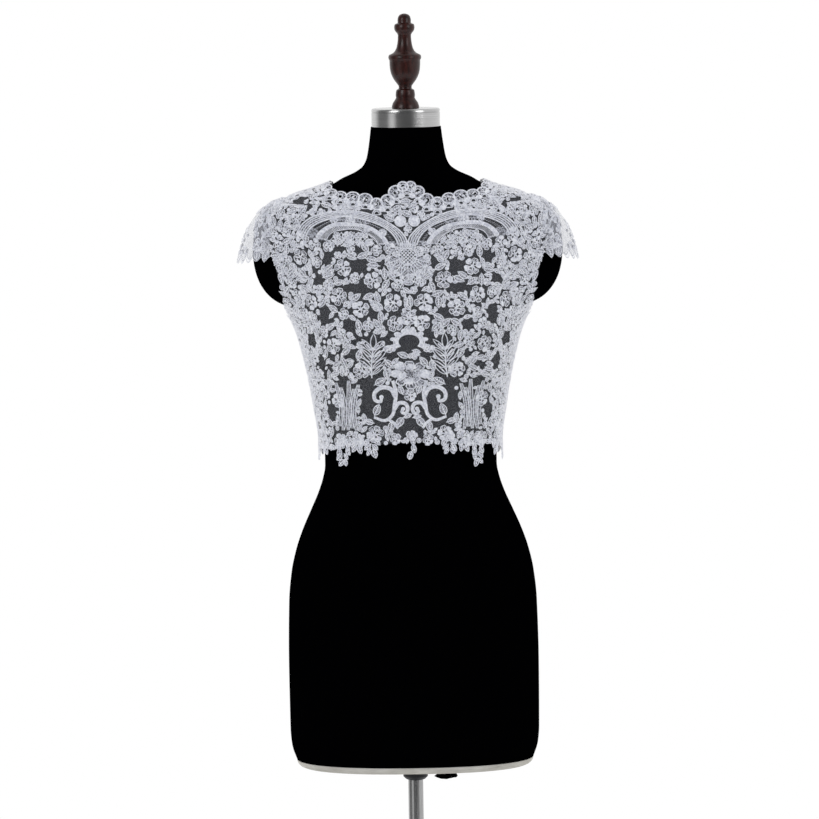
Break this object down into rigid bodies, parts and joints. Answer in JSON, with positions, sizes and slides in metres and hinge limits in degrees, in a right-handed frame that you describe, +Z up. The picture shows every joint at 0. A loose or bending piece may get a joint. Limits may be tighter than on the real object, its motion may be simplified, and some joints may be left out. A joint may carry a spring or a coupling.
{
  "type": "lace bridal jacket on a dress form",
  "caption": "Cropped sheer lace bridal jacket with scalloped neck, cap sleeves and back buttons, on a black limbless dress form with turned finial and pole stand.",
  "frame": {"origin": "centre of the stand base's underside, on the pole's axis", "axes": "+Z up along the pole, -Y the front of the jacket, +X the wearer's left"},
  "size_m": [0.45, 0.38, 1.634],
  "materials": {
    "corded_lace": "white corded lace on sheer net",
    "covered_button": "satin-covered",
    "black_jersey": "matt stretch jersey",
    "cream_board": "cloth-covered edge board",
    "satin_metal": "brushed",
    "dark_wood": "stained and varnished",
    "pole_steel": "plain tube",
    "black_metal": "satin black"
  },
  "bodies": {
    "root": {"front": "corded_lace", "back_left": "corded_lace", "back_right": "corded_lace", "sleeve_left": "corded_lace", "sleeve_right": "corded_lace", "button_1": "covered_button", "button_2": "covered_button", "button_3": "covered_button", "button_4": "covered_button", "button_5": "covered_button", "button_6": "covered_button", "button_7": "covered_button", "button_8": "covered_button", "torso": "black_jersey", "cover_tail": "black_jersey", "base_band": "cream_board", "neck_cap": "satin_metal", "finial": "dark_wood", "pole": "pole_steel", "pole_collar": "black_metal", "stand_base": "black_metal"}
  },
  "joints": []
}
